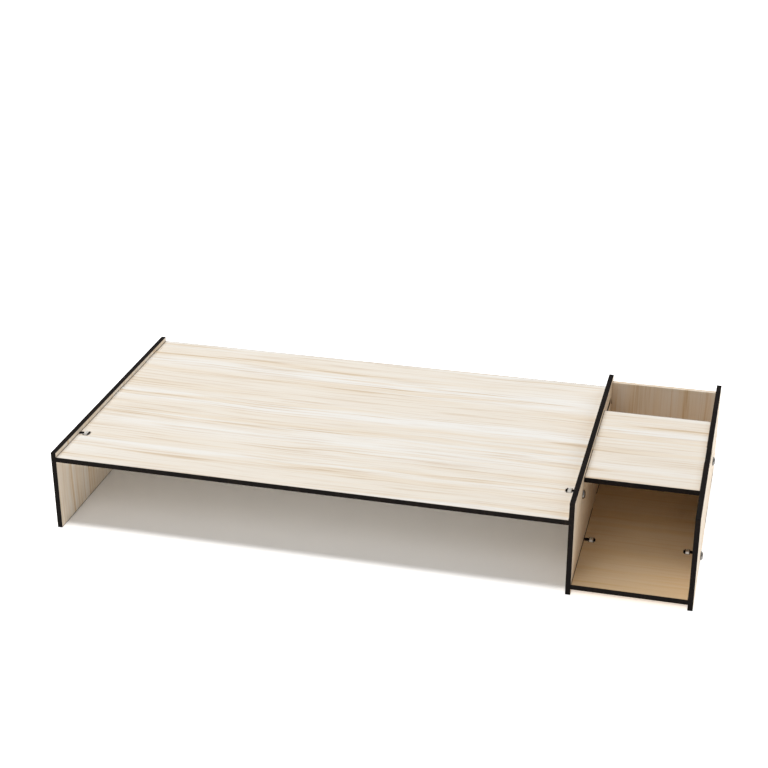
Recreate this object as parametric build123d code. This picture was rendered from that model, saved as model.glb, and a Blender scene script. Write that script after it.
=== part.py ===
"""Flat-pack laptop riser with an open side cubby and a phone slot, cut from thin sheet.

Three upright sides carry every other sheet. Each sheet that runs across between two sides
(a crosspiece) ends in tabs that pass through the sides, and in slots where a screw through
the side meets a nut that is trapped in a pocket of the sheet.

Frame: millimetres, +X to the right, +Y to the back, +Z up. The origin is the middle of the
footprint, on the surface that the riser stands on.
"""
import os

from build123d import *

# Sheet stock and the clear spaces between the sheets
board = 4.5                # thickness of every sheet
bay_width = 463.0          # between the left side and the partition
cubby_width = 98.5         # between the partition and the right side
laptop_shelf_top = 72.0    # top face of the laptop shelf above the floor
cubby_shelf_top = 84.0     # top face of the cubby shelf above the floor
lip = 4.5                  # how far a side stands above the shelf that it holds
base_rise = 5.5            # underside of the cubby base above the floor

# Front to back
cubby_shelf_setback = 56.0   # from the front to the cubby shelf
cubby_shelf_depth = 136.0
phone_slot = 63.0            # clear gap between the cubby back and the phone rest
phone_rest_inset = 4.5       # from the phone rest to the rear edge of the sides
bay_overhang = 7.0           # how much deeper the bay is than the cubby
stretcher_inset = 31.5       # from the rear edge of the laptop shelf to the stretcher
stretcher_height = 45.0

# Tabs, the mortises that take them, and where they sit
tab_length = 30.0
short_tab = 14.0           # the stretcher's tab
foot_tab = 18.0            # tabs under the two walls that stand on the cubby base
rear_tab_inset = 41.0      # from the rear edge to the middle of the last tab
mortise_fit = 0.1          # clearance on each side of a tab

# Screws and nuts
shelf_bolt_setback = 52.0  # from the front to the laptop shelf's bolts
base_bolt_setback = 79.0   # from the front to the cubby base's bolts
screw_diameter = 4.0
screw_play = 0.15          # clearance round the shank in a side or a slot
screw_tip = 1.0            # thread that sticks out past the nut
tip_room = 0.6             # slot left in front of the tip
tip_chamfer = 0.5
head_diameter = 8.0
head_height = 2.4
head_rim = 0.9             # straight part of the head's edge
head_shoulder = 6.6        # diameter at which the head's rounded top turns flatter
shoulder_drop = 0.6        # and how far below the flat that is
head_flat = 4.6            # diameter of the flat on top of the head
recess_span = 4.0          # cross recess in the head
recess_width = 0.9
recess_depth = 1.3
nut_across_flats = 7.0
nut_thickness = 3.2
nut_web = 5.3              # sheet left between the edge and the nut, which is drawn against it
pocket_play = 0.2          # clearance between each flat of the nut and the pocket's wall
pocket_room = 0.6          # pocket left behind the nut
bore_play = 0.1            # clearance of the shank in the nut

# Places worked out from the sizes above
cubby_depth = cubby_shelf_setback + cubby_shelf_depth + phone_slot + board + phone_rest_inset
bay_depth = cubby_depth + bay_overhang
front = -bay_depth / 2
rear_of_bay = front + bay_depth
rear_of_cubby = front + cubby_depth

left_outside = -(bay_width + cubby_width + 3 * board) / 2
bay_left = left_outside + board
bay_right = bay_left + bay_width
cubby_left = bay_right + board
cubby_right = cubby_left + cubby_width

laptop_shelf_under = laptop_shelf_top - board
cubby_shelf_under = cubby_shelf_top - board
base_top = base_rise + board
left_side_height = laptop_shelf_top + lip
cubby_side_height = cubby_shelf_top + lip
cubby_shelf_front = front + cubby_shelf_setback
cubby_shelf_rear = cubby_shelf_front + cubby_shelf_depth

nut_pocket = nut_thickness + pocket_room
screw_length = board + nut_web + nut_thickness + screw_tip
slot_length = screw_length - board + tip_room


def bolt_slot():
    """The slot and nut pocket for one bolt, drawn inwards along +X from a sheet's edge."""
    shank = Pos(slot_length / 2, 0) * Rectangle(slot_length, screw_diameter + 2 * screw_play)
    pocket = Rectangle(nut_pocket, nut_across_flats + 2 * pocket_play)
    return shank + Pos(nut_web + nut_pocket / 2, 0) * pocket


class Crosspiece:
    """A sheet between two sides, either lying flat or standing on edge across the riser.

    face is the z of the underside of a flat sheet, or the y of the front of a standing one.
    span is its low and high edge along Y if flat, along Z if standing. tabs holds the middle
    and length of each tab along the span, and bolts the place of each bolt along it.
    """

    def __init__(self, left, right, flat, face, span, tabs=(), bolts=()):
        self.left = left
        self.right = right
        self.flat = flat
        self.middle = face + board / 2
        self.span = span
        self.tabs = tabs
        self.bolts = bolts
        if flat:
            self.plane = Plane(origin=(0, 0, face), x_dir=(1, 0, 0), z_dir=(0, 0, 1))
            self.thickness = board
        else:
            self.plane = Plane(origin=(0, face, 0), x_dir=(1, 0, 0), z_dir=(0, -1, 0))
            self.thickness = -board

    def solid(self, feet=(), mortises=None):
        """The sheet: its outline with tabs and bolt slots, drawn in its plane and thickened."""
        low, high = self.span
        width = self.right - self.left
        across = (self.left + self.right) / 2
        outline = Pos(across, (low + high) / 2) * Rectangle(width, high - low)
        for place, length in self.tabs:
            outline += Pos(across, place) * Rectangle(width + 2 * board, length)
        for place in feet:
            outline += Pos(place, low) * Rectangle(foot_tab, 2 * board)
        for place in self.bolts:
            outline -= Pos(self.left, place) * bolt_slot()
            outline -= Pos(self.right, place) * Rot(0, 0, 180) * bolt_slot()
        if mortises:
            outline -= mortises
        return extrude(self.plane * outline, self.thickness)

    def in_side(self, place):
        """The (y, z) at which this sheet's middle plane meets a side, at a place of its span."""
        if self.flat:
            return place, self.middle
        return self.middle, place

    def cuts_in_side(self):
        """The mortises and screw holes that this sheet needs in a side, drawn in (y, z)."""
        cuts = Sketch()
        for place, length in self.tabs:
            size = (length + 2 * mortise_fit, board + 2 * mortise_fit)
            if not self.flat:
                size = size[::-1]
            cuts += Pos(*self.in_side(place)) * Rectangle(*size)
        for place in self.bolts:
            cuts += Pos(*self.in_side(place)) * Circle(screw_diameter / 2 + screw_play)
        return cuts


def side(left_face, depth, height, crosspieces):
    """An upright side, drawn in (y, z) at its left face and cut for the crosspieces it holds."""
    plane = Plane(origin=(left_face, 0, 0), x_dir=(0, 1, 0), z_dir=(1, 0, 0))
    outline = Pos(front + depth / 2, height / 2) * Rectangle(depth, height)
    for piece in crosspieces:
        outline -= piece.cuts_in_side()
    return extrude(plane * outline, board)


def screw():
    """A cross-recessed pan-head screw along +X, with the underside of its head at x = 0."""
    head = head_diameter / 2
    shank = screw_diameter / 2
    outline = Polyline(
        (-head_height, 0),
        (-head_height, head_flat / 2),
        (-head_height + shoulder_drop, head_shoulder / 2),
        (-head_rim, head),
        (0, head),
        (0, shank),
        (screw_length - tip_chamfer, shank),
        (screw_length, shank - tip_chamfer),
        (screw_length, 0),
        (-head_height, 0),
    )
    body = revolve(make_face(outline), Axis.X)
    bar = Box(2 * recess_depth, recess_span, recess_width)
    recess = Pos(-head_height, 0, 0) * (bar + Rot(90, 0, 0) * bar)
    return body - recess


def nut(flat):
    """A hexagon nut on the X axis. Its flats face the pocket walls of a flat or standing sheet."""
    turn = 90 if flat else 0
    outline = Rot(0, 0, turn) * RegularPolygon(nut_across_flats / 2, 6, major_radius=False)
    outline -= Circle(screw_diameter / 2 + bore_play)
    return Pos(-nut_thickness / 2, 0, 0) * extrude(Plane.YZ * outline, nut_thickness)


def fasteners(name, piece):
    """The screw and nut of each bolt at both ends of a crosspiece, as named solids."""
    found = {}
    for place in piece.bolts:
        y, z = piece.in_side(place)
        ends = (("left", piece.left, 1, 0), ("right", piece.right, -1, 180))
        for end, face, inwards, turn in ends:
            seat = Pos(face - inwards * board, y, z)
            found[f"{name}_{end}_screw"] = seat * Rot(0, 0, turn) * screw()
            bearing = nut_web + nut_thickness / 2
            found[f"{name}_{end}_nut"] = Pos(face + inwards * bearing, y, z) * nut(piece.flat)
    return found


# The sheets that run across
shelf_bolt = front + shelf_bolt_setback
shelf_rear_tab = rear_of_bay - rear_tab_inset
laptop_shelf = Crosspiece(
    bay_left, bay_right, True, laptop_shelf_under, (front, rear_of_bay),
    tabs=[((shelf_bolt + shelf_rear_tab) / 2, tab_length), (shelf_rear_tab, tab_length)],
    bolts=[shelf_bolt],
)
stretcher_under = laptop_shelf_under - stretcher_height
rear_stretcher = Crosspiece(
    bay_left, bay_right, False, rear_of_bay - stretcher_inset - board,
    (stretcher_under, laptop_shelf_under),
    tabs=[(stretcher_under + 0.3 * stretcher_height, short_tab)],
    bolts=[stretcher_under + 0.7 * stretcher_height],
)
base_bolt = front + base_bolt_setback
base_rear_tab = rear_of_cubby - rear_tab_inset
cubby_base = Crosspiece(
    cubby_left, cubby_right, True, base_rise, (front, rear_of_cubby),
    tabs=[((base_bolt + base_rear_tab) / 2, tab_length), (base_rear_tab, tab_length)],
    bolts=[base_bolt],
)
cubby_shelf = Crosspiece(
    cubby_left, cubby_right, True, cubby_shelf_under, (cubby_shelf_front, cubby_shelf_rear),
    tabs=[((cubby_shelf_front + cubby_shelf_rear) / 2, tab_length)],
)
cubby_back = Crosspiece(
    cubby_left, cubby_right, False, cubby_shelf_rear - board, (base_top, cubby_shelf_under),
    bolts=[(base_top + cubby_shelf_under) / 2],
)
phone_rest = Crosspiece(
    cubby_left, cubby_right, False, cubby_shelf_rear + phone_slot, (base_top, cubby_shelf_top),
    tabs=[((base_top + cubby_shelf_top) / 2, tab_length)],
)

# The two standing walls of the cubby have feet, and the base has a mortise for each foot
cubby_middle = (cubby_left + cubby_right) / 2
feet = [cubby_middle - cubby_width / 4, cubby_middle + cubby_width / 4]
foot_mortises = Sketch()
for wall in (cubby_back, phone_rest):
    for foot in feet:
        size = (foot_tab + 2 * mortise_fit, board + 2 * mortise_fit)
        foot_mortises += Pos(foot, wall.middle) * Rectangle(*size)

in_bay = [laptop_shelf, rear_stretcher]
in_cubby = [cubby_base, cubby_shelf, cubby_back, phone_rest]
nodes = {
    "left_side": side(left_outside, bay_depth, left_side_height, in_bay),
    "partition": side(bay_right, cubby_depth, cubby_side_height, in_bay + in_cubby),
    "right_side": side(cubby_right, cubby_depth, cubby_side_height, in_cubby),
    "laptop_shelf": laptop_shelf.solid(),
    "rear_stretcher": rear_stretcher.solid(),
    "cubby_base": cubby_base.solid(mortises=foot_mortises),
    "cubby_shelf": cubby_shelf.solid(),
    "cubby_back": cubby_back.solid(feet),
    "phone_rest": phone_rest.solid(feet),
}
nodes.update(fasteners("laptop_shelf", laptop_shelf))
nodes.update(fasteners("rear_stretcher", rear_stretcher))
nodes.update(fasteners("cubby_base", cubby_base))
nodes.update(fasteners("cubby_back", cubby_back))

os.makedirs("parts", exist_ok=True)
for name, solid in nodes.items():
    export_step(solid, f"parts/{name}.step")
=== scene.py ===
import math

import bmesh
import bpy
from bpy.props import FloatProperty, FloatVectorProperty, IntProperty, PointerProperty
from bpy.types import Operator, Panel, PropertyGroup
from mathutils import Matrix, Vector


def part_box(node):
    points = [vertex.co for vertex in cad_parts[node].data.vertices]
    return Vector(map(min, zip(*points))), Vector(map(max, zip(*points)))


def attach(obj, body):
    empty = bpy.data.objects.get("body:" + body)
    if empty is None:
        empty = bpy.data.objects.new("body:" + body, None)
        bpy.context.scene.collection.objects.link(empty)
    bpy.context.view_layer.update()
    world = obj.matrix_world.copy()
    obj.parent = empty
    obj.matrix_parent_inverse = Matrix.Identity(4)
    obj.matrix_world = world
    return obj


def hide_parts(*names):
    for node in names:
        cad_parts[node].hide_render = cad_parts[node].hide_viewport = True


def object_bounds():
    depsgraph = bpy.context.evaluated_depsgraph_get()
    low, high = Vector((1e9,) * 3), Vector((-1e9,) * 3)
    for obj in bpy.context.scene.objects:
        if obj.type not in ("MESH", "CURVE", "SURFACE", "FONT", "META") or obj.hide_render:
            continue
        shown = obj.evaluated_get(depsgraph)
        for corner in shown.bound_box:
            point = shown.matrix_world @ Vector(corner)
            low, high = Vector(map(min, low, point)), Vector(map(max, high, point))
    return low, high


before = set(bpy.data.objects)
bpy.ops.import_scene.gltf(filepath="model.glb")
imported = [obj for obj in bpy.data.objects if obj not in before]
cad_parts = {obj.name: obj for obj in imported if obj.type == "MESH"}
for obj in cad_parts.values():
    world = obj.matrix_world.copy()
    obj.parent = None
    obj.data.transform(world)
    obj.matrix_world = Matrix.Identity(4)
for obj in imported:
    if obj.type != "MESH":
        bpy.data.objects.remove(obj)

bl_info = {
    "name": "Laptop riser with side cubby",
    "version": (1, 0, 0),
    "blender": (4, 5, 0),
    "location": "3D View > Sidebar > Riser",
    "description": "Finishes a flat-pack laptop riser: laser-cut sheets, screws and nuts",
    "category": "Object",
}

CAD_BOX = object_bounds()
MM = 0.001
X, Y, Z = 0, 1, 2

# Each sheet: the axis its grain runs along, its place in the wood (any number), and how much darker
# and warmer than the palest it is. That darkening is painted shade: a sheet that stands in the
# shade of the others gets a darker copy of the one pale film. A group's sheets share the axis
# through their thickness
SIDES = (X, {
    "left_side": (Z, 3.1, 0.2),
    "partition": (Z, 7.7, 0.42),
    "right_side": (Z, 12.4, 0.32),
})
SHELVES = (Z, {
    "laptop_shelf": (X, 21.0, 0.0),
    "cubby_shelf": (X, 33.3, 0.03),
    "cubby_base": (X, 41.9, 0.72),
})
WALLS = (Y, {
    "rear_stretcher": (X, 52.6, 0.3),
    "cubby_back": (X, 64.2, 0.45),
    "phone_rest": (Z, 71.5, 0.27),
})
BARE_TOP = "phone_rest"     # the one sheet whose top edge isn't charred
BOLTED = ("laptop_shelf", "rear_stretcher", "cubby_base", "cubby_back")


def in_mm(metres):
    """Millimetres to a tenth, because a CAD mesh's facets fall just short of a round outline."""
    return round(metres / MM, 1)


# Screws and nuts are drawn in millimetres. The eight of each kind are alike
SCREW_LOW, SCREW_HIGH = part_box("laptop_shelf_left_screw")
NUT_LOW, NUT_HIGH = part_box("laptop_shelf_left_nut")
HEAD_HEIGHT = in_mm(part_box("left_side")[0].x - SCREW_LOW.x)
HEAD_RADIUS = in_mm(SCREW_HIGH.y - SCREW_LOW.y) / 2
SCREW_LENGTH = in_mm(SCREW_HIGH.x - SCREW_LOW.x) - HEAD_HEIGHT
NUT_THICKNESS = in_mm(NUT_HIGH.x - NUT_LOW.x)
NUT_FLATS = in_mm(NUT_HIGH.y - NUT_LOW.y)
SHANK_RADIUS = 2.0
BORE_RADIUS = 2.04


# --- What a user would change ---------------------------------------------------------------


class SheetSettings(PropertyGroup):
    arris: FloatProperty(
        name="Arris", description="Width of the softened corner along every cut",
        default=0.00012, min=0.0, unit="LENGTH", precision=5)
    scorch: FloatProperty(
        name="Scorch", description="How far the face is burnt beside a cut",
        default=0.0008, min=0.0001, unit="LENGTH", precision=5)
    # The sooty stain beyond the scorch is real, and its band also paints the shade in the corners
    # where one sheet meets another
    smoke_and_shade: FloatProperty(
        name="Smoke", description="How far smoke stains the face beyond the scorch",
        default=0.0012, min=0.0001, unit="LENGTH", precision=5)
    pale: FloatVectorProperty(
        name="Pale wood", description="Colour of the wood between its grain lines",
        default=(0.895, 0.873, 0.828), min=0.0, max=1.0, subtype="COLOR")
    blush: FloatVectorProperty(
        name="Blush", description="Colour of the pinkish bands in the wood",
        default=(0.84, 0.75, 0.625), min=0.0, max=1.0, subtype="COLOR")
    line: FloatVectorProperty(
        name="Grain line", description="Colour of the darker growth lines",
        default=(0.60, 0.44, 0.27), min=0.0, max=1.0, subtype="COLOR")
    # Painted shade: the darker, warmer colour that the film of a sheet standing in shade is mixed
    # towards
    painted_shade: FloatVectorProperty(
        name="Darker sheet", description="Colour that a darker sheet's film leans towards",
        default=(0.65, 0.41, 0.16), min=0.0, max=1.0, subtype="COLOR")
    # Colour of the sooty stain, which also serves as painted shade where sheets meet
    smoke_and_shade_colour: FloatVectorProperty(
        name="Smoke stain", description="Colour that the smoke leaves on the face",
        default=(0.42, 0.25, 0.12), min=0.0, max=1.0, subtype="COLOR")
    scorched: FloatVectorProperty(
        name="Scorched face", description="Colour of the burnt strip beside a cut",
        default=(0.045, 0.030, 0.021), min=0.0, max=1.0, subtype="COLOR")
    charred: FloatVectorProperty(
        name="Charred edge", description="Colour of the edges that the laser cut",
        default=(0.0075, 0.0058, 0.0052), min=0.0, max=1.0, subtype="COLOR")
    browned: FloatVectorProperty(
        name="Browned edge", description="Colour where an edge is less charred",
        default=(0.052, 0.033, 0.021), min=0.0, max=1.0, subtype="COLOR")


class FastenerSettings(PropertyGroup):
    pitch: FloatProperty(
        name="Thread pitch", description="Distance from one turn of the thread to the next",
        default=0.0007, min=0.0003, unit="LENGTH", precision=5)
    thread_depth: FloatProperty(
        name="Thread depth", description="Height of the thread over its root",
        default=0.0004, min=0.0001, unit="LENGTH", precision=5)
    turn_steps: IntProperty(
        name="Steps a turn", description="Facets in one turn of the thread",
        default=20, min=8, max=64)
    nut_chamfer: FloatProperty(
        name="Nut chamfer", description="Slope of the chamfer on the nut's corners",
        default=math.radians(30), min=0.1, max=1.2, subtype="ANGLE")
    screw_steel: FloatVectorProperty(
        name="Screw steel", description="Colour of the screws' plating",
        default=(0.27, 0.26, 0.25), min=0.0, max=1.0, subtype="COLOR")
    nut_steel: FloatVectorProperty(
        name="Nut steel", description="Colour of the nuts' plating",
        default=(0.86, 0.84, 0.79), min=0.0, max=1.0, subtype="COLOR")


class StageSettings(PropertyGroup):
    floor: FloatVectorProperty(
        name="Floor", description="Colour of the floor",
        default=(0.93, 0.93, 0.93), min=0.0, max=1.0, subtype="COLOR")
    floor_glow: FloatProperty(
        name="Floor glow", description="Light of the floor's own, which keeps its shadows pale",
        default=0.65, min=0.0, max=2.0)
    wall_glow: FloatProperty(
        name="Wall glow", description="Brightness of the wall behind the floor",
        default=1.0, min=0.0, max=2.0)
    key_light: FloatProperty(
        name="Key light", description="Power of the large soft light at the back left",
        default=29.0, min=0.0, unit="POWER")
    side_light: FloatProperty(
        name="Side light", description="Power of the soft light at the back right",
        default=8.0, min=0.0, unit="POWER")
    front_light: FloatProperty(
        name="Front light", description="Power of the weak light to the left of the camera",
        default=3.0, min=0.0, unit="POWER")
    sky: FloatProperty(
        name="Sky", description="Strength of the even light from all sides",
        default=0.42, min=0.0, max=5.0)


# --- Materials ------------------------------------------------------------------------------


class Number:
    """A socket that gives a number. Python's arithmetic on it adds Math nodes."""

    def __init__(self, finish, socket):
        self.finish = finish
        self.socket = socket

    def math(self, operation, *others):
        values = dict(enumerate((self,) + others))
        return self.finish.number("ShaderNodeMath", {"operation": operation}, values)

    def __add__(self, other):
        return self.math("ADD", other)

    def __sub__(self, other):
        return self.math("SUBTRACT", other)

    def __rsub__(self, other):
        return self.finish.number("ShaderNodeMath", {"operation": "SUBTRACT"}, {0: other, 1: self})

    def __mul__(self, other):
        return self.math("MULTIPLY", other)

    __radd__ = __add__
    __rmul__ = __mul__


class Finish:
    """A material that is being built."""

    def __init__(self, name):
        self.material = bpy.data.materials.new(name)
        self.material.use_nodes = True
        self.tree = self.material.node_tree
        self.tree.nodes.clear()

    def node(self, kind, settings=None, values=None):
        """Adds a node: first its settings, then its sockets' values or links."""
        made = self.tree.nodes.new(kind)
        for key, value in (settings or {}).items():
            setattr(made, key, value)
        for key, value in (values or {}).items():
            if isinstance(value, Number):
                value = value.socket
            if isinstance(value, bpy.types.NodeSocket):
                self.tree.links.new(value, made.inputs[key])
            else:
                made.inputs[key].default_value = value
        return made

    def number(self, kind, settings, values, output=0):
        return Number(self, self.node(kind, settings, values).outputs[output])

    def axes(self):
        """The object coordinates x, y and z, in metres."""
        place = self.node("ShaderNodeTexCoord").outputs["Object"]
        split = self.node("ShaderNodeSeparateXYZ", None, {"Vector": place})
        return [Number(self, socket) for socket in split.outputs]

    def attribute(self, name):
        return self.number("ShaderNodeAttribute", {"attribute_name": name}, None, "Fac")

    def noise(self, x, y, z, detail=2.0, roughness=0.5):
        place = self.node("ShaderNodeCombineXYZ", None, {"X": x, "Y": y, "Z": z})
        values = {
            "Vector": place.outputs[0], "Scale": 1.0, "Detail": detail, "Roughness": roughness}
        return self.number("ShaderNodeTexNoise", None, values, "Fac")

    def even_noise(self, repeats, detail):
        """Noise that is alike in all directions, with its repeats in a metre."""
        return self.noise(*[axis * repeats for axis in self.axes()], detail)

    def window(self, value, low, high, smooth=True):
        """0 where value is below low, 1 where it is above high."""
        settings = {"interpolation_type": "SMOOTHSTEP" if smooth else "LINEAR"}
        values = {"Value": value, "From Min": low, "From Max": high}
        return self.number("ShaderNodeMapRange", settings, values, "Result")

    def mix(self, share, first, second):
        """Colour between first and second, by share."""
        values = {0: share}
        for key, colour in ((6, first), (7, second)):      # the node's two sockets for colours
            values[key] = colour if isinstance(colour, bpy.types.NodeSocket) else (*colour, 1.0)
        return self.node("ShaderNodeMix", {"data_type": "RGBA"}, values).outputs[2]

    def bump(self, height, distance, strength):
        values = {"Height": height, "Distance": distance, "Strength": strength}
        return self.node("ShaderNodeBump", None, values).outputs["Normal"]

    def surface(self, values):
        """Ends the material with a Principled shader and gives the material."""
        shader = self.node("ShaderNodeBsdfPrincipled", None, values)
        self.node("ShaderNodeOutputMaterial", None, {"Surface": shader.outputs[0]})
        return self.material


# The scorch attribute of a sheet's points is 1 at a cut, this where the scorch ends, and 0
# where the sooty stain ends. That stain is real, and also paints the shade where one sheet meets
# another
SCORCH_END = 0.5
SCORCH_FADE = (SCORCH_END + 0.08, 0.84)     # the values between which the face turns black

# The layers of the film's grain. Each has its repeats in a metre along and across the grain,
# its place in the noise, the noise's detail and roughness, the values between which it fades
# in, and how strongly it colours the wood
GRAIN = {
    "broad": (1.8, 30.0, 1.7, 2.0, 0.5, 0.40, 0.62, 0.62),
    "bands": (4.2, 125.0, 2.9, 3.0, 0.6, 0.46, 0.66, 1.0),
    "lines": (9.0, 340.0, 4.2, 2.0, 0.6, 0.48, 0.74, 0.84),
    "streaks": (17.0, 850.0, 9.1, 2.0, 0.6, 0.48, 0.80, 0.30),
    "pores": (95.0, 3600.0, 13.0, 1.0, 0.5, 0.66, 0.80, 0.20),
}
DRIFT = (4.4, 6.0)          # repeats of the drift that makes the grain wander
DRIFT_REACH = 0.014         # metres
CLOUDS = (7.0, 14.0, 17.0)  # repeats of the clouds where lines are strong, and their place
FACE_CHANGE = 300.0         # how fast the film changes through a sheet, so its two faces differ
PUFFS = 160.0               # of the patches in the sooty stain, which is partly painted shade, and in the scorch, repeats in a metre
# How strongly the sooty stain darkens the face; beside the joints it is painted shade
SMOKE_AND_SHADE_SHARE = 0.16
BURN_SHARE = 0.92


def wood_film(name, thickness_axis, grain_axis, place, darker, look):
    """Pale straight-grained wood on a sheet's two faces, with sooty stains beside the cuts that
    also paint the shade where sheets meet, and painted shade on the sheets that stand in shade.
    """
    finish = Finish(name)
    axes = finish.axes()
    along = axes[grain_axis]
    across = axes[X + Y + Z - thickness_axis - grain_axis]
    place = place + axes[thickness_axis] * FACE_CHANGE
    drift = finish.noise(along * DRIFT[0], across * DRIFT[1], place)
    across = across + (drift - 0.5) * DRIFT_REACH
    layers = {}
    for layer, (length, width, shift, detail, roughness, low, high, share) in GRAIN.items():
        noise = finish.noise(along * length, across * width, place + shift, detail, roughness)
        layers[layer] = finish.window(noise, low, high) * share
    broad, bands, lines, streaks, pores = layers.values()
    clouds = finish.noise(along * CLOUDS[0], across * CLOUDS[1], place + CLOUDS[2])
    lines = lines * (0.25 + 0.5 * clouds + 0.5 * bands)
    colour = look.pale
    for share in (broad, bands):
        colour = finish.mix(share, colour, look.blush)
    for share in (lines, streaks, pores):
        colour = finish.mix(share, colour, look.line)
    # Painted shade: the film of a sheet that stands in shade is mixed towards a darker, warmer
    # colour by its share
    if darker:
        colour = finish.mix(darker, colour, look.painted_shade)

    near_cut = finish.attribute("scorch")
    puffs = finish.even_noise(PUFFS, 3.0)
    # A real sooty stain beside every cut, whose band also serves as painted shade in the corners
    # where one sheet meets another
    smoke_and_shade = finish.window(near_cut, 0.0, 1.0, smooth=False) * (0.3 + puffs)
    colour = finish.mix(smoke_and_shade * SMOKE_AND_SHADE_SHARE, colour, look.smoke_and_shade_colour)
    burn = finish.window(near_cut + (puffs - 0.5) * 0.15, *SCORCH_FADE)
    colour = finish.mix(burn * BURN_SHARE, colour, look.scorched)
    height = 1.0 - pores * 2.0 - streaks * 0.8
    return finish.surface({
        "Base Color": colour,
        "Roughness": 0.52 + pores * 0.6 + burn * 0.4,
        "Specular IOR Level": 0.28,
        "Normal": finish.bump(height, 0.00006, 0.6),
    })


RIDGES_ROUND = 2300.0       # the laser's ridges in a metre of edge
RIDGES_THROUGH = 110.0      # and through the sheet, so that they run from face to face
CHAR_PATCHES = 55.0


def charred_edge(thickness_axis, look):
    """The laser's cut: charred almost black, with fine ridges from face to face."""
    finish = Finish("charred edge across " + "xyz"[thickness_axis])
    axes = finish.axes()
    repeats = [RIDGES_ROUND] * 3
    repeats[thickness_axis] = RIDGES_THROUGH
    ridges = finish.noise(*[axes[axis] * repeats[axis] for axis in (X, Y, Z)], 2.0, 0.6)
    patches = finish.even_noise(CHAR_PATCHES, 3.0)
    brown = finish.window(ridges, 0.45, 0.85) * finish.window(patches, 0.35, 0.75)
    return finish.surface({
        "Base Color": finish.mix(brown, look.charred, look.browned),
        "Roughness": 0.62 + 0.25 * ridges,
        "Specular IOR Level": 0.08,
        "Normal": finish.bump(ridges, 0.00008, 0.7),
    })


SCRATCHES_ALONG = 400.0     # in a metre, along the screw
DULL_SPOTS = 1500.0


def plated_steel(name, steel, scratches_round, rough):
    """Zinc plating with faint scratches and small dull spots."""
    finish = Finish(name)
    x, y, z = finish.axes()
    scratches = finish.noise(
        x * SCRATCHES_ALONG, y * scratches_round, z * scratches_round, 2.0, 0.6)
    dull = finish.window(finish.even_noise(DULL_SPOTS, 2.0), 0.52, 0.72)
    return finish.surface({
        "Base Color": finish.mix(dull * 0.5, steel, [0.55 * c for c in steel]),
        "Metallic": 1.0,
        "Roughness": rough + dull * 0.18 + (scratches - 0.5) * 0.16,
        "Normal": finish.bump(scratches, 0.000012, 0.6),
    })


# --- Shapes ---------------------------------------------------------------------------------


def to_mesh(bm, name):
    mesh = bpy.data.meshes.new(name)
    bm.to_mesh(mesh)
    bm.free()
    return mesh


def add_object(name, mesh):
    made = bpy.data.objects.new(name, mesh)
    bpy.context.scene.collection.objects.link(made)
    return made


def add_piece(name, mesh, node, materials):
    """Puts a finished mesh in the scene in place of a CAD node."""
    piece = add_object(name, mesh)
    for material in materials:
        mesh.materials.append(material)
    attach(piece, "root")
    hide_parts(node)


SAME_POINT = 2e-6           # metres between points that are one
ALIGNED = 0.99              # part of a normal that lies along an axis, for a face that looks there
LOOKS_UP = 0.3              # and for the rounded corners beside a top edge
EDGE_DEPTH = 1.0 * MM       # how far below its top a bare edge's faces may lie


def cut_sheet(node, thickness_axis, look):
    """A sheet from its CAD solid: softened corners, and rings on each face that hold the marks."""
    bm = bmesh.new()
    bm.from_mesh(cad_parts[node].data)
    bmesh.ops.remove_doubles(bm, verts=bm.verts, dist=SAME_POINT)
    bmesh.ops.dissolve_limit(
        bm, angle_limit=math.radians(1), verts=bm.verts, edges=bm.edges,
        use_dissolve_boundaries=False)

    def on_face(face):
        return abs(face.normal[thickness_axis]) > ALIGNED

    bm.normal_update()
    arrises = [e for e in bm.edges if len(e.link_faces) == 2 and
               on_face(e.link_faces[0]) != on_face(e.link_faces[1])]
    bmesh.ops.bevel(
        bm, geom=arrises, offset=look.arris, offset_type="OFFSET", segments=2, profile=0.5,
        affect="EDGES", clamp_overlap=True, material=-1)
    bm.normal_update()
    scorch = bm.verts.layers.float.new("scorch")
    for v in bm.verts:
        v[scorch] = 1.0
    middle_faces = [f for f in bm.faces if on_face(f)]
    # The first ring holds the scorch, the second the sooty stain, which also paints the shade where
    # sheets meet
    for width, level in ((look.scorch, SCORCH_END), (look.smoke_and_shade, 0.0)):
        bmesh.ops.inset_region(
            bm, faces=middle_faces, use_boundary=True, use_even_offset=True, thickness=width,
            depth=0.0)
        for v in {v for f in middle_faces for v in f.verts}:
            v[scorch] = level
    bm.normal_update()
    for f in bm.faces:
        if not on_face(f):
            f.material_index = 1
    if node == BARE_TOP:
        top = max(v.co.z for v in bm.verts)
        for v in bm.verts:
            if v.co.z > top - look.scorch - look.smoke_and_shade / 2:
                v[scorch] = 0.0
        for f in bm.faces:
            if f.normal.z > LOOKS_UP and f.calc_center_median().z > top - EDGE_DEPTH:
                f.material_index = 0
    return to_mesh(bm, node + "_sheet")


CLOSE = 1e-4                # millimetres between points that are one, in a screw or nut
AXIS_X = (1, 0, 0)
MIDDLE = (0, 0, 0)


def profile(bm, points):
    """A chain of edges through points given as (x, radius)."""
    verts = [bm.verts.new((x, 0.0, radius)) for x, radius in points]
    return verts + [bm.edges.new(pair) for pair in zip(verts, verts[1:])]


def spun(outline, steps):
    """A closed solid turned round X from its outline."""
    bm = bmesh.new()
    bmesh.ops.spin(
        bm, geom=profile(bm, outline), cent=MIDDLE, axis=AXIS_X, angle=2 * math.pi, steps=steps,
        use_merge=True)
    bmesh.ops.remove_doubles(bm, verts=bm.verts, dist=CLOSE)
    bmesh.ops.recalc_face_normals(bm, faces=bm.faces)
    return bm


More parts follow.
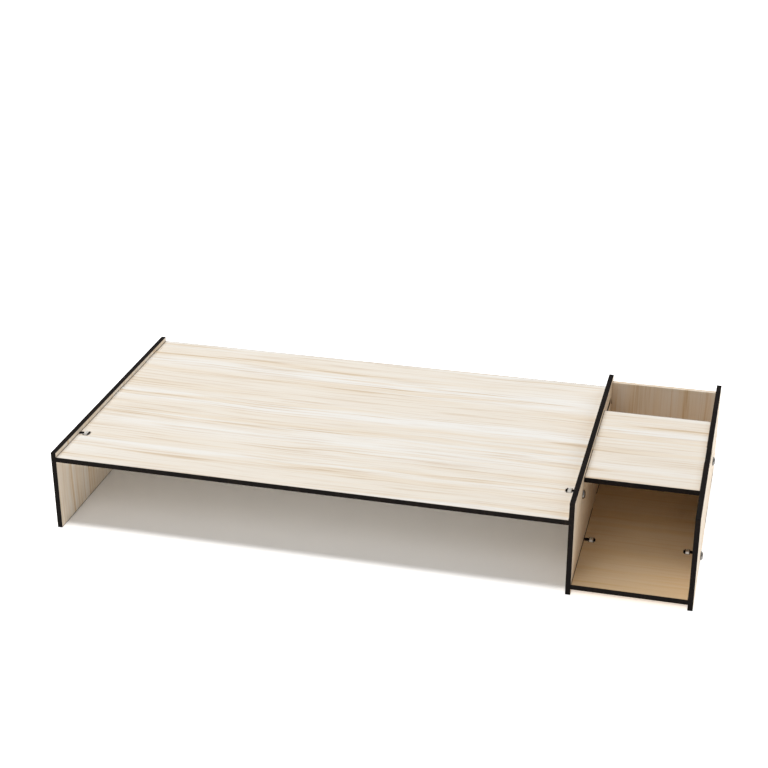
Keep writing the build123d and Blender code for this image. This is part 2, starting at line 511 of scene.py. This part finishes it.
def round_ring(bm, x, radius, offset, segments):
    """Rounds the corner that runs round the solid at x, at that radius."""
    def there(v):
        return abs(v.co.x - x) < 1e-3 and abs(math.hypot(v.co.y, v.co.z) - radius) < 1e-3

    ring = [e for e in bm.edges if there(e.verts[0]) and there(e.verts[1])]
    bmesh.ops.bevel(
        bm, geom=ring, offset=offset, offset_type="OFFSET", segments=segments, profile=0.5,
        affect="EDGES", clamp_overlap=True, material=-1)


def combined(target, tool, operation="DIFFERENCE"):
    """The bmesh target after a boolean with the bmesh tool."""
    first = add_object("first", to_mesh(target, "first"))
    second = add_object("second", to_mesh(tool, "second"))
    boolean = first.modifiers.new("cut", "BOOLEAN")
    boolean.operation = operation
    boolean.solver = "EXACT"
    boolean.object = second
    bpy.context.view_layer.update()
    depsgraph = bpy.context.evaluated_depsgraph_get()
    mesh = bpy.data.meshes.new_from_object(first.evaluated_get(depsgraph))
    bpy.data.objects.remove(first)
    bpy.data.objects.remove(second)
    bm = bmesh.new()
    bm.from_mesh(mesh)
    bpy.data.meshes.remove(mesh)
    return bm


HEAD_FLAT = 2.7             # radius at which the head's top turns down
HEAD_RIM = 0.95             # straight part of the head's edge
RECESS_BAR = (3.0, 4.1, 0.95)           # along the screw, and the recess's span and width
RECESS_TAPER = (1.0, 0.42, 0.75)        # shares of these that are left at the bar's deep end
RECESS_LIFT = 0.1           # how far outside the head's top the bar's middle lies

# One tooth of the thread: shares of the pitch, and whether the point lies on the crest
TOOTH = ((0.0, False), (0.125, False), (0.4375, True), (0.5625, True), (0.875, False), (1.0, False))
THREAD_START = -0.6         # inside the head
THREAD_END = 1.0            # from the tip
TIP_LENGTH = 2.2            # plain core that closes the thread's end
TIP_CHAMFER = 0.5
TIP_DROP = 0.45             # how much thinner than the root the tip's end is
CORE_PLAY = 0.02            # keeps the core off the thread's root


def recess_arm(turn):
    """The tool for one arm of a cross recess: a tapered bar that reaches in from the top."""
    bm = bmesh.new()
    bmesh.ops.create_cube(bm, size=1.0)
    bmesh.ops.scale(bm, vec=RECESS_BAR, verts=bm.verts)
    bmesh.ops.scale(bm, vec=RECESS_TAPER, verts=[v for v in bm.verts if v.co.x > 0])
    bmesh.ops.rotate(
        bm, cent=MIDDLE, matrix=Matrix.Rotation(math.radians(turn), 3, "X"), verts=bm.verts)
    bmesh.ops.translate(bm, vec=(-HEAD_HEIGHT - RECESS_LIFT, 0, 0), verts=bm.verts)
    return bm


def screw_head():
    """A pan head with a cross recess, its underside at x = 0."""
    head = spun([
        (-HEAD_HEIGHT, 0.0), (-HEAD_HEIGHT, HEAD_FLAT), (-HEAD_RIM, HEAD_RADIUS),
        (0.0, HEAD_RADIUS), (0.0, 0.0),
    ], steps=48)
    round_ring(head, -HEAD_HEIGHT, HEAD_FLAT, offset=1.0, segments=5)
    round_ring(head, -HEAD_RIM, HEAD_RADIUS, offset=0.35, segments=3)
    round_ring(head, 0.0, HEAD_RADIUS, offset=0.12, segments=2)
    for turn in (0, 90):
        head = combined(head, recess_arm(turn))
    return head


def screw_thread(look, root):
    """The thread, swept along +X and closed at both ends."""
    pitch = look.pitch / MM
    turns = int((SCREW_LENGTH - THREAD_END - THREAD_START) / pitch)
    bm = bmesh.new()
    tooth = profile(bm, [
        (THREAD_START + pitch * share, SHANK_RADIUS if crest else root) for share, crest in TOOTH])
    bmesh.ops.spin(
        bm, geom=tooth, cent=MIDDLE, axis=AXIS_X, dvec=(pitch / look.turn_steps, 0, 0),
        angle=2 * math.pi * turns, steps=turns * look.turn_steps)
    bmesh.ops.remove_doubles(bm, verts=bm.verts, dist=CLOSE)
    bmesh.ops.holes_fill(bm, edges=[e for e in bm.edges if e.is_boundary], sides=0)
    bmesh.ops.triangulate(bm, faces=[f for f in bm.faces if len(f.verts) > 4])
    bmesh.ops.recalc_face_normals(bm, faces=bm.faces)
    return bm


def screw_shape(look):
    """A pan-head machine screw along +X, the underside of its head at x = 0, in millimetres."""
    root = SHANK_RADIUS - look.thread_depth / MM
    tip = spun([
        (SCREW_LENGTH - TIP_LENGTH, 0.0), (SCREW_LENGTH - TIP_LENGTH, root - CORE_PLAY),
        (SCREW_LENGTH - TIP_CHAMFER, root - CORE_PLAY), (SCREW_LENGTH, root - TIP_DROP),
        (SCREW_LENGTH, 0.0),
    ], steps=32)
    screw = screw_head()
    for part in (screw_thread(look, root), tip):
        extra = to_mesh(part, "extra")
        screw.from_mesh(extra)
        bpy.data.meshes.remove(extra)
    return to_mesh(screw, "screw shape")


NUT_FACE = 0.96             # diameter of the nut's round face as a share of its flats
BORE_CHAMFER = 0.4          # how much wider the bore's mouth is, just outside the nut
BORE_CHAMFER_DEPTH = 0.3
CORNER_REACH = 0.5          # how far the chamfering tool reaches past the nut's corners
FACE_REACH = 0.1            # and the boring tool past its faces


def nut_shape(look):
    """A hexagon nut on the X axis, flats along Y, chamfered at both faces, in millimetres."""
    half = NUT_THICKNESS / 2
    corner = NUT_FLATS / 2 / math.cos(math.radians(30))
    prism = bmesh.new()
    bmesh.ops.create_cone(
        prism, cap_ends=True, segments=6, radius1=corner, radius2=corner, depth=NUT_THICKNESS)
    bmesh.ops.rotate(
        prism, cent=MIDDLE, matrix=Matrix.Rotation(math.radians(90), 3, "Y"), verts=prism.verts)
    face = NUT_FLATS / 2 * NUT_FACE
    wide = corner + CORNER_REACH
    drop = (wide - face) * math.tan(look.nut_chamfer)
    chamfers = spun([
        (-half, 0.0), (-half, face), (-half + drop, wide), (half - drop, wide), (half, face),
        (half, 0.0),
    ], steps=60)
    bore = spun([
        (-half - FACE_REACH, 0.0), (-half - FACE_REACH, BORE_RADIUS + BORE_CHAMFER),
        (-half + BORE_CHAMFER_DEPTH, BORE_RADIUS), (half - BORE_CHAMFER_DEPTH, BORE_RADIUS),
        (half + FACE_REACH, BORE_RADIUS + BORE_CHAMFER), (half + FACE_REACH, 0.0),
    ], steps=40)
    return to_mesh(combined(combined(prism, chamfers, "INTERSECT"), bore), "nut shape")


def placed(shape, name, matrix):
    """A copy of a shape drawn in millimetres, put in its place in metres."""
    mesh = shape.copy()
    mesh.name = name
    mesh.transform(matrix @ Matrix.Scale(MM, 4))
    for polygon in mesh.polygons:
        polygon.use_smooth = True
    mesh.set_sharp_from_angle(angle=math.radians(28))
    return mesh


# --- The stage ------------------------------------------------------------------------------

FLOOR_REACH = 9.0           # from the middle to the floor's edge
FLOOR_DROP = 0.00015        # how far below the riser the floor lies, so that the two don't touch
SHADE_AT_SIDES = (0.006, 0.003)         # where the floor's glow fades in, inside the CAD box
SHADE_AT_FRONT = (0.015, 0.002)
SHADED_GLOW = (0.04, 0.04, 0.04)
FIBRES = 40.0               # repeats in a metre
FIBRE_GREY = (0.80, 0.80, 0.80)
WALL_RADIUS = 8.5
WALL_HEIGHT = 6.0
WHITE = (1.0, 1.0, 1.0)

# Each light: the setting that holds its power, its size, its place and what it is aimed at
LIGHTS = {
    "key": ("key_light", 2.2, (-0.90, 0.40, 2.05), (0.0, 0.0, 0.0)),
    "side": ("side_light", 1.2, (1.20, 0.90, 1.25), (0.0, 0.0, 0.05)),
    "front": ("front_light", 0.7, (-0.30, -1.3, 1.4), (0.05, 0.0, 0.03)),
}

# The camera's place, its right, up and back directions, and its lens in millimetres, as fitted
# to the edges of the boards
CAMERA_PLACE = (0.32077, -1.30512, 0.74387)
CAMERA_AXES = (
    (0.96898, 0.24711, -0.00188),
    (-0.10297, 0.41066, 0.90595),
    (0.22464, -0.87766, 0.42337),
)
CAMERA_LENS = 75.57
CAMERA_SENSOR = 36.0


def add_floor(look):
    bm = bmesh.new()
    bmesh.ops.create_grid(bm, x_segments=1, y_segments=1, size=FLOOR_REACH)
    bmesh.ops.translate(bm, vec=(0, 0, -FLOOR_DROP), verts=bm.verts)
    floor = add_object("floor", to_mesh(bm, "floor"))
    finish = Finish("floor paper")
    x, y, _ = finish.axes()
    fibres = finish.noise(x * FIBRES, y * FIBRES, 0.0, 3.0)
    # No glow under the riser itself, whose bay and cubby stay in shade
    corner = CAD_BOX[1]
    beside = finish.window(x.math("ABSOLUTE"), *[corner.x - inset for inset in SHADE_AT_SIDES])
    beyond = finish.window(y.math("ABSOLUTE"), *[corner.y - inset for inset in SHADE_AT_FRONT])
    floor.data.materials.append(finish.surface({
        "Base Color": finish.mix(fibres * 0.04, look.floor, FIBRE_GREY),
        "Roughness": 0.9,
        "Specular IOR Level": 0.1,
        "Emission Color": finish.mix(beside.math("MAXIMUM", beyond), SHADED_GLOW, WHITE),
        "Emission Strength": look.floor_glow,
    }))


def add_wall(look):
    """A pale wall all round, which other views see behind the floor. It lights nothing."""
    bm = bmesh.new()
    bmesh.ops.create_cone(
        bm, cap_ends=False, segments=96, radius1=WALL_RADIUS, radius2=WALL_RADIUS,
        depth=WALL_HEIGHT)
    bmesh.ops.translate(bm, vec=(0, 0, WALL_HEIGHT / 2 - MM), verts=bm.verts)
    wall = add_object("wall", to_mesh(bm, "wall"))
    wall.visible_diffuse = False
    wall.visible_glossy = False
    wall.data.materials.append(Finish("wall paper").surface({
        "Base Color": (0.05, 0.05, 0.05, 1.0),
        "Roughness": 0.9,
        "Emission Color": (*WHITE, 1.0),
        "Emission Strength": look.wall_glow,
    }))


def add_light(name, power, size, place, target):
    lamp = bpy.data.lights.new(name, "AREA")
    lamp.shape = "DISK"
    lamp.size = size
    lamp.energy = power
    light = add_object(name, lamp)
    light.location = place
    light.rotation_euler = (Vector(target) - Vector(place)).to_track_quat("-Z", "Y").to_euler()


def add_camera():
    camera = add_object("camera", bpy.data.cameras.new("camera"))
    camera.data.sensor_width = CAMERA_SENSOR
    camera.data.lens = CAMERA_LENS
    turn = Matrix(CAMERA_AXES).transposed()
    camera.matrix_world = Matrix.Translation(CAMERA_PLACE) @ turn.to_4x4()
    bpy.context.scene.camera = camera


# --- Operators ------------------------------------------------------------------------------


def make_sheets(context, group):
    look = context.scene.riser_sheets
    thickness_axis, sheets = group
    edge = charred_edge(thickness_axis, look)
    # darker is the sheet's share of painted shade in its film
    for node, (grain_axis, place, darker) in sheets.items():
        film = wood_film(node + " film", thickness_axis, grain_axis, place, darker, look)
        mesh = cut_sheet(node, thickness_axis, look)
        add_piece(node + "_sheet", mesh, node, [film, edge])


class RISER_OT_sides(Operator):
    """The left side, the partition and the right side"""
    bl_idname = "riser.sides"
    bl_label = "Sides"

    def execute(self, context):
        make_sheets(context, SIDES)
        return {"FINISHED"}


class RISER_OT_shelves(Operator):
    """The laptop shelf, the cubby shelf and the cubby base"""
    bl_idname = "riser.shelves"
    bl_label = "Shelves"

    def execute(self, context):
        make_sheets(context, SHELVES)
        return {"FINISHED"}


class RISER_OT_walls(Operator):
    """The sheets that stand across the riser: stretcher, cubby back and phone rest"""
    bl_idname = "riser.walls"
    bl_label = "Standing walls"

    def execute(self, context):
        make_sheets(context, WALLS)
        return {"FINISHED"}


class RISER_OT_screws(Operator):
    """The pan-head screws, two for each bolted sheet"""
    bl_idname = "riser.screws"
    bl_label = "Screws"

    def execute(self, context):
        look = context.scene.riser_fasteners
        steel = plated_steel("screw steel", look.screw_steel, scratches_round=2600.0, rough=0.22)
        shape = screw_shape(look)
        for sheet in BOLTED:
            for end, inwards in (("left", 1), ("right", -1)):
                node = f"{sheet}_{end}_screw"
                low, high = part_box(node)
                place = (low + high) / 2
                place.x = (low.x if inwards > 0 else high.x) + inwards * HEAD_HEIGHT * MM
                turn = Matrix.Rotation(0 if inwards > 0 else math.pi, 4, "Z")
                mesh = placed(shape, node, Matrix.Translation(place) @ turn)
                add_piece(node + "_threaded", mesh, node, [steel])
        bpy.data.meshes.remove(shape)
        return {"FINISHED"}


class RISER_OT_nuts(Operator):
    """The hexagon nuts, one in each pocket"""
    bl_idname = "riser.nuts"
    bl_label = "Nuts"

    def execute(self, context):
        look = context.scene.riser_fasteners
        steel = plated_steel("nut steel", look.nut_steel, scratches_round=900.0, rough=0.42)
        shape = nut_shape(look)
        for sheet in BOLTED:
            for end in ("left", "right"):
                node = f"{sheet}_{end}_nut"
                low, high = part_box(node)
                size = high - low
                turn = Matrix.Rotation(0 if size.y < size.z else math.pi / 2, 4, "X")
                mesh = placed(shape, node, Matrix.Translation((low + high) / 2) @ turn)
                add_piece(node + "_chamfered", mesh, node, [steel])
        bpy.data.meshes.remove(shape)
        return {"FINISHED"}


class RISER_OT_stage(Operator):
    """The floor, the wall behind it, the lights and the camera"""
    bl_idname = "riser.stage"
    bl_label = "Stage"

    def execute(self, context):
        look = context.scene.riser_stage
        add_floor(look)
        add_wall(look)
        for name, (setting, size, place, target) in LIGHTS.items():
            add_light(name, getattr(look, setting), size, place, target)
        world = bpy.data.worlds.new("studio")
        world.use_nodes = True
        background = world.node_tree.nodes["Background"]
        background.inputs["Color"].default_value = (*WHITE, 1.0)
        background.inputs["Strength"].default_value = look.sky
        context.scene.world = world
        context.scene.view_settings.view_transform = "Standard"
        add_camera()
        return {"FINISHED"}


class RISER_PT_panel(Panel):
    """The riser's settings, with a button for each group of pieces"""
    bl_idname = "RISER_PT_panel"
    bl_label = "Laptop riser"
    bl_space_type = "VIEW_3D"
    bl_region_type = "UI"
    bl_category = "Riser"

    def draw(self, context):
        for settings, operators in PANEL_GROUPS:
            box = self.layout.box()
            look = getattr(context.scene, settings)
            for name in look.bl_rna.properties.keys():
                if name not in ("rna_type", "name"):
                    box.prop(look, name)
            for operator in operators:
                box.operator(operator.bl_idname)


PANEL_GROUPS = (
    ("riser_sheets", (RISER_OT_sides, RISER_OT_shelves, RISER_OT_walls)),
    ("riser_fasteners", (RISER_OT_screws, RISER_OT_nuts)),
    ("riser_stage", (RISER_OT_stage,)),
)
SETTINGS = {
    "riser_sheets": SheetSettings,
    "riser_fasteners": FastenerSettings,
    "riser_stage": StageSettings,
}
OPERATORS = tuple(operator for _, group in PANEL_GROUPS for operator in group)
CLASSES = tuple(SETTINGS.values()) + OPERATORS + (RISER_PT_panel,)


def register():
    for made in CLASSES:
        bpy.utils.register_class(made)
    for name, settings in SETTINGS.items():
        setattr(bpy.types.Scene, name, PointerProperty(type=settings))


def unregister():
    for name in SETTINGS:
        delattr(bpy.types.Scene, name)
    for made in reversed(CLASSES):
        bpy.utils.unregister_class(made)


def main():
    register()
    bpy.ops.riser.sides()
    bpy.ops.riser.shelves()
    bpy.ops.riser.walls()
    bpy.ops.riser.screws()
    bpy.ops.riser.nuts()
    bpy.ops.riser.stage()


if __name__ == "__main__":
    main()
